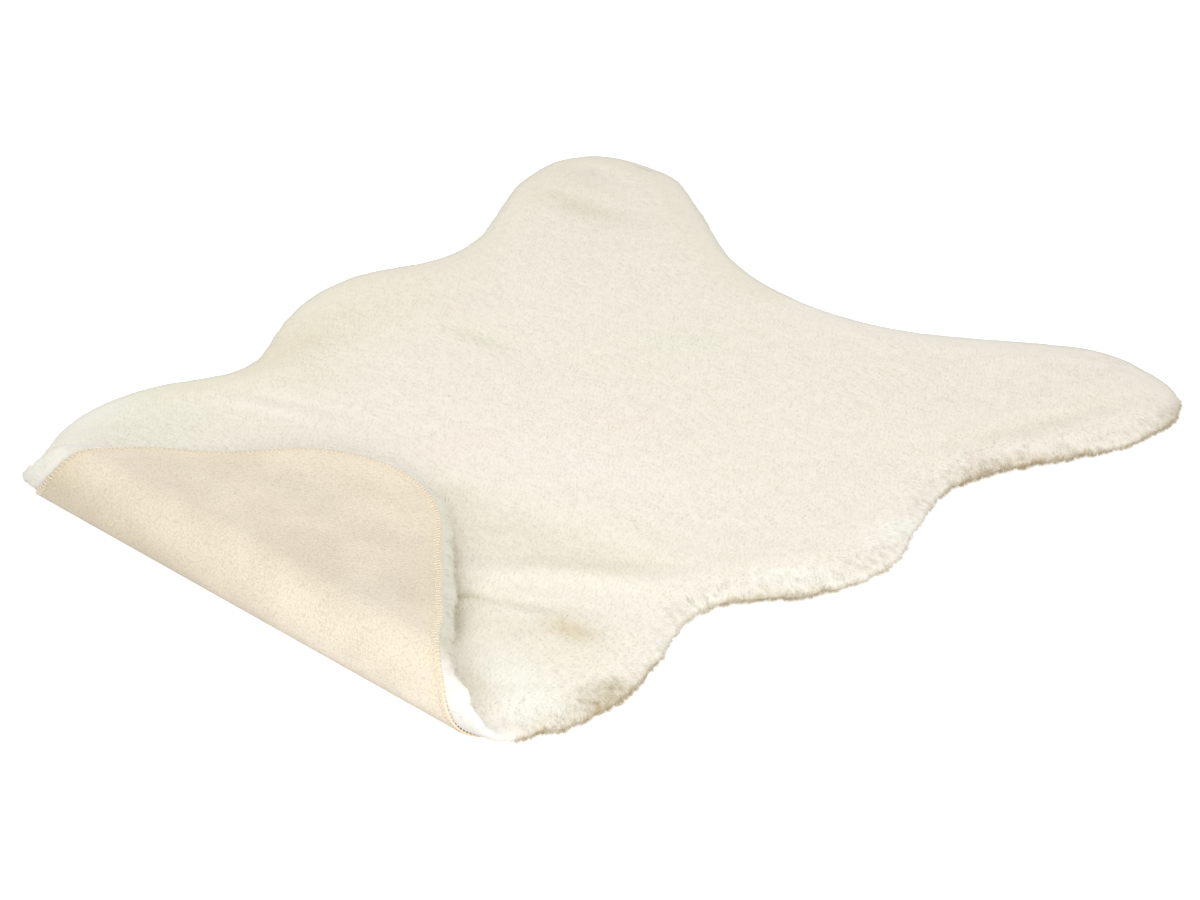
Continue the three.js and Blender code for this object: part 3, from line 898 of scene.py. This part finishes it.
def pile_shade():
    """A node group that colours the pile from root to tip, and adds its painted tints, light and shade."""
    group = bpy.data.node_groups.new("Pile shade", "ShaderNodeTree")
    sockets = {
        "Tipward": ("NodeSocketFloat", 1.0),
        "Shade": ("NodeSocketFloat", 0.5),
        "Base": ("NodeSocketColor", (0.56, 0.49, 0.34, 1)),
        "Root": ("NodeSocketColor", (0.815, 0.760, 0.655, 1)),
        "Tip": ("NodeSocketColor", (0.895, 0.847, 0.745, 1)),
        "Unevenness": ("NodeSocketFloat", 0.10),
    }
    for label, (kind, value) in sockets.items():
        group.interface.new_socket(label, in_out="INPUT", socket_type=kind).default_value = value
    group.interface.new_socket("Color", in_out="OUTPUT", socket_type="NodeSocketColor")
    given = group.nodes.new("NodeGroupInput").outputs
    place = out(add_node(group, "ShaderNodeTexCoord"), "Object")
    tint = add_node(group, "ShaderNodeAttribute", attribute_name="tint")
    roots_and_shade = add_node(group, "ShaderNodeAttribute", attribute_name="roots_and_shade")
    shade = mixed(group, given["Tipward"], given["Root"], given["Tip"])
    drift = noise_on(group, place, 11.0, 1.0)
    hue = mixed(group, drift, (1.02, 0.985, 0.995, 1), (0.98, 1.01, 0.99, 1))
    darkest = number_maths(group, "SUBTRACT", 1.0, given["Unevenness"])
    tuft_shade = ranged(group, given["Shade"], 0.0, 1.0, darkest, 1.0)
    clumps = ranged(group, noise_on(group, place, 190.0), 0.35, 0.65, 0.6, 1.25)
    # Tan roots, and painted shade low on the rim, take the pile towards the base colour.
    bare_and_shaded = number_maths(group, "MULTIPLY", out(roots_and_shade, "Fac"), clumps, use_clamp=True)
    bared_and_shaded = mixed(group, bare_and_shaded, (1, 1, 1, 1), given["Base"])
    mottle = ranged(group, clumps, 0.0, 1.0, 0.947, 0.985)
    shade = multiplied(group, shade, [hue, out(tint, "Color"), tuft_shade, bared_and_shaded, mottle])
    group.links.new(shade, group.nodes.new("NodeGroupOutput").inputs[0])
    return group


PILE_SHADE = pile_shade()

pile_finish, tree, shader = new_material("cream_pile")
cut = out(add_node(tree, "ShaderNodeUVMap", uv_map="cut"))
height = mixed(tree, 0.5, noise_on(tree, cut, 700.0, 4.0), noise_on(tree, cut, 160.0), "FLOAT")
finish = {
    "Base Color": out(add_node(tree, "ShaderNodeGroup", {"Shade": height}, node_tree=PILE_SHADE)),
    "Normal": bumped(tree, height, 0.6, 0.0012),
    "Roughness": 1.0,
    "Sheen Weight": 0.25,
    "Specular IOR Level": 0.1,
}
set_inputs(tree, shader, finish)
pile_body.data.materials.append(pile_finish)


# ==== Pile fibres ====
# The outer polyester fibres of the pile, in small tufts that lean with the nap. They stand thicker and
# longer round the edge, where the pile fans out past the cut.
def tuft(name, blades, length, width, reach, scatter, bent, seed):
    """A tuft of tapered fibres that stands along Z and faces +Y. A bent fibre has a joint half-way."""
    draw = np.random.default_rng(seed)
    verts, faces, along = [], [], []
    for _ in range(blades):
        turn, off = draw.uniform(-0.3, 0.3), draw.uniform(0, 2 * math.pi)
        root = Vector((math.cos(off), math.sin(off), 0)) * reach * math.sqrt(draw.uniform())
        wide = Vector((math.cos(turn), math.sin(turn), 0)) * width * draw.uniform(0.6, 1.0) / 2
        tall = length * draw.uniform(0.65, 1.0)
        sway = Vector((draw.normal(0, scatter), -abs(draw.normal(0, scatter / 2)), 0)) * tall
        tip = root + sway + Vector((0, 0, tall * 0.92))
        start = len(verts)
        if bent:
            knee = root + sway * 0.3 + Vector((0, 0, tall * 0.52))
            verts += [root + wide, root - wide, knee - wide * 0.8, knee + wide * 0.8, tip]
            faces += [(start, start + 1, start + 2, start + 3), (start + 3, start + 2, start + 4)]
            along += [0, 0, 0.5, 0.5, 1]
        else:
            verts += [root + wide, root - wide, tip]
            faces += [(start, start + 1, start + 2)]
            along += [0, 0, 1]
    made = plain_object(name, verts, faces)
    store_floats(made.data, "along", np.array(along, dtype=float))
    return made


pile, given, result = tree_with_inputs(
    "Pile",
    {
        "Tuft": "NodeSocketObject",
        "Tufts per square metre": "NodeSocketFloat",
        "Cover": "NodeSocketString",
        "Lean": "NodeSocketFloat",
        "Droop": "NodeSocketFloat",
        "Scatter": "NodeSocketFloat",
        "Sink": "NodeSocketFloat",
        "Lift": "NodeSocketFloat",
        "Shortest": "NodeSocketFloat",
        "Longest": "NodeSocketFloat",
        "Clumping": "NodeSocketFloat",
        "Seed": "NodeSocketInt",
        "Finish": "NodeSocketMaterial",
    },
)
fibre_length = named(pile, "fibre_length", "FLOAT")
cover = named(pile, given["Cover"], "FLOAT")
density = number_maths(pile, "MULTIPLY", cover, given["Tufts per square metre"])
sown = add_node(
    pile,
    "GeometryNodeDistributePointsOnFaces",
    {"Mesh": given["Geometry"], "Density": density, "Seed": given["Seed"]},
)
# A tuft stands along the face's normal, leans with the nap, droops, and strays from its neighbours.
face_normal = out(sown, "Normal")
stray = chance(pile, (-1, -1, -1), (1, 1, 1), given["Seed"], "FLOAT_VECTOR")
looseness = number_maths(pile, "MULTIPLY", given["Scatter"], fibre_length)
way = face_normal
for part in (
    vector_maths(pile, "SCALE", named(pile, "nap", "FLOAT_VECTOR"), given["Lean"]),
    vector_maths(pile, "SCALE", (0, 0, -1), given["Droop"]),
    vector_maths(pile, "SCALE", stray, looseness),
):
    way = vector_maths(pile, "ADD", way, part)
# It is lit as the soft face under it is, turned up a little.
lift = vector_maths(pile, "SCALE", (0, 0, 1), given["Lift"])
face_way = vector_maths(pile, "NORMALIZE", vector_maths(pile, "ADD", face_normal, lift))
turn = add_node(
    pile,
    "FunctionNodeAxesToRotation",
    {0: way, 1: face_way},
    primary_axis="Z",
    secondary_axis="Y",
)
spin = chance(pile, -0.25, 0.25, given["Seed"])
about = add_node(pile, "ShaderNodeCombineXYZ", {"Z": spin})
about = add_node(pile, "FunctionNodeEulerToRotation", {0: out(about)})
turn = add_node(
    pile,
    "FunctionNodeRotateRotation",
    {"Rotation": out(turn), "Rotate By": out(about)},
    rotation_space="LOCAL",
)
# Neighbouring tufts are long or short together, which breaks the edge into clumps.
clump = out(add_node(pile, "ShaderNodeTexNoise", {"Scale": 170.0, "Detail": 0.0}))
clump = number_maths(pile, "MULTIPLY_ADD", clump, given["Clumping"], 1.0)
size = chance(pile, given["Shortest"], given["Longest"], given["Seed"])
for factor in (clump, fibre_length):
    size = number_maths(pile, "MULTIPLY", size, factor)
tufts = out(sown, "Points")
for name, value, kind in (
    ("face_way", face_way, "FLOAT_VECTOR"),
    ("shade", chance(pile, 0.0, 1.0, given["Seed"]), "FLOAT"),
):
    tufts = add_node(
        pile,
        "GeometryNodeStoreNamedAttribute",
        {"Geometry": tufts, "Name": name, "Value": value},
        data_type=kind,
        domain="POINT",
    )
    tufts = out(tufts)
sink = vector_maths(pile, "SCALE", face_normal, given["Sink"])
sunk = add_node(pile, "GeometryNodeSetPosition", {"Geometry": tufts, "Offset": sink})
source = add_node(pile, "GeometryNodeObjectInfo", {"Object": given["Tuft"]})
grown_tufts = copies(pile, out(sunk), out(source, "Geometry"), out(turn), size)
facing = add_node(
    pile,
    "GeometryNodeSetMeshNormal",
    {
        "Mesh": above_floor(pile, grown_tufts, least=0.0004),
        "Custom Normal": named(pile, "face_way", "FLOAT_VECTOR"),
    },
    mode="FREE",
    domain="POINT",
)
coated = add_node(
    pile, "GeometryNodeSetMaterial", {"Geometry": out(facing), "Material": given["Finish"]}
)
pile.links.new(out(coated), result.inputs[0])

fibre_finish, tree, shader = new_material("cream_fibres")
fade = {
    "Tipward": out(add_node(tree, "ShaderNodeAttribute", attribute_name="along"), "Fac"),
    "Shade": out(add_node(tree, "ShaderNodeAttribute", attribute_name="shade"), "Fac"),
}
finish = {
    "Base Color": out(add_node(tree, "ShaderNodeGroup", fade, node_tree=PILE_SHADE)),
    "Roughness": 0.85,
    "Sheen Weight": 0.3,
    "Specular IOR Level": 0.2,
}
set_inputs(tree, shader, finish)

SHORT = {"blades": 8, "length": 0.0040, "width": 0.00050, "reach": 0.0024, "scatter": 0.20}
LONG = {"blades": 6, "length": 0.0056, "width": 0.00045, "reach": 0.0016, "scatter": 0.22}
short_tuft = tuft("short_tuft", **SHORT, bent=False, seed=11)
long_tuft = tuft("long_tuft", **LONG, bent=True, seed=12)
TOP = {
    "Tuft": short_tuft,
    "Tufts per square metre": 160000.0,
    "Lean": 3.0,
    "Droop": 0.0,
    "Scatter": 0.35,
    "Sink": -0.0005,
    "Lift": 0.0,
    "Shortest": 0.75,
    "Longest": 1.15,
    "Clumping": 0.0,
    "Finish": fibre_finish,
}
EDGE = {
    **TOP,
    "Tuft": long_tuft,
    "Tufts per square metre": 280000.0,
    "Lean": 1.5,
    "Droop": 0.1,
    "Scatter": 0.4,
    "Sink": -0.0012,
    "Lift": 0.5,
    "Shortest": 0.40,
    "Longest": 0.65,
    "Clumping": 1.2,
}
fibres = []
for label, seed in {
    "top_left": 21,
    "top_right": 22,
    "edge_left": 23,
    "edge_right": 24,
    "edge_flap": 25,
}.items():
    recipe = TOP if label.startswith("top") else EDGE
    values = {**recipe, "Cover": "cover_" + label, "Seed": seed}
    fibres.append(grown("pile_" + label, pile, pile_body, values))
for used in (short_tuft, long_tuft):
    bpy.data.objects.remove(used)

for piece in (pile_body, *fibres):
    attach(piece, "root")
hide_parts("fur")


# ==== Floor, light and camera ====
# The rug lies on a plain white floor, which glows only as the camera sees it, so that its shadows stay
# faint. The light is soft studio light from the right, with weaker fills from the left and above.
FLOOR_SIZE = 14
FLOOR_GLOW = 0.8
bpy.ops.mesh.primitive_plane_add(size=FLOOR_SIZE, location=(0, 0, 0))
floor = bpy.context.object
floor.name = "studio_floor"
floor_finish, tree, shader = new_material("white_floor")
seen = out(add_node(tree, "ShaderNodeLightPath"), "Is Camera Ray")
finish = {
    "Base Color": (0.7, 0.7, 0.7, 1),
    "Emission Color": (1, 1, 1, 1),
    "Emission Strength": number_maths(tree, "MULTIPLY", seen, FLOOR_GLOW),
    "Roughness": 0.9,
}
set_inputs(tree, shader, finish)
floor.data.materials.append(floor_finish)
floor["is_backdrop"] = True

world = bpy.data.worlds.new("studio")
world.use_nodes = True
daylight = world.node_tree.nodes["Background"]
set_inputs(world.node_tree, daylight, {"Color": (1, 1, 1, 1), "Strength": 0.70})
bpy.context.scene.world = world

# Each light's place, what it is aimed at, its width and height, and its power.
LIGHTS = {
    "key": ((1.7, -1.18, 0.9), (0, 0, 0), (1.2, 0.9), 27),
    "left fill": ((-1.3, -0.9, 0.8), (-0.1, -0.1, 0), (0.9, 0.9), 4),
    "low left": ((-1.0, -0.75, 0.28), (-0.28, -0.3, 0.02), (0.5, 0.2), 0.45),
    "top": ((-0.055, 0.08, 0.9), (-0.055, 0.08, 0), (0.6, 0.6), 1.5),
}
for name, (place, aim, size, power) in LIGHTS.items():
    lamp = bpy.data.lights.new(name, "AREA")
    lamp.shape = "RECTANGLE"
    lamp.size, lamp.size_y = size
    lamp.energy = power
    made = added(name, lamp)
    made.location = place
    made.rotation_euler = (Vector(aim) - Vector(place)).to_track_quat("-Z", "Y").to_euler()

LOOKS_AT = Vector((0.0327, -0.0098, 0))
AZIMUTH, ELEVATION, DISTANCE = math.radians(44), math.radians(31.02), 1.998
back = Vector(
    (
        math.sin(AZIMUTH) * math.cos(ELEVATION),
        -math.cos(AZIMUTH) * math.cos(ELEVATION),
        math.sin(ELEVATION),
    )
)
camera = added("camera", bpy.data.cameras.new("camera"))
camera.data.lens = 85.1
camera.data.sensor_width = 36
camera.location = LOOKS_AT + back * DISTANCE
camera.rotation_euler = (-back).to_track_quat("-Z", "Y").to_euler()
bpy.context.scene.camera = camera
bpy.context.scene.view_settings.view_transform = "Standard"

low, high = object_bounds()
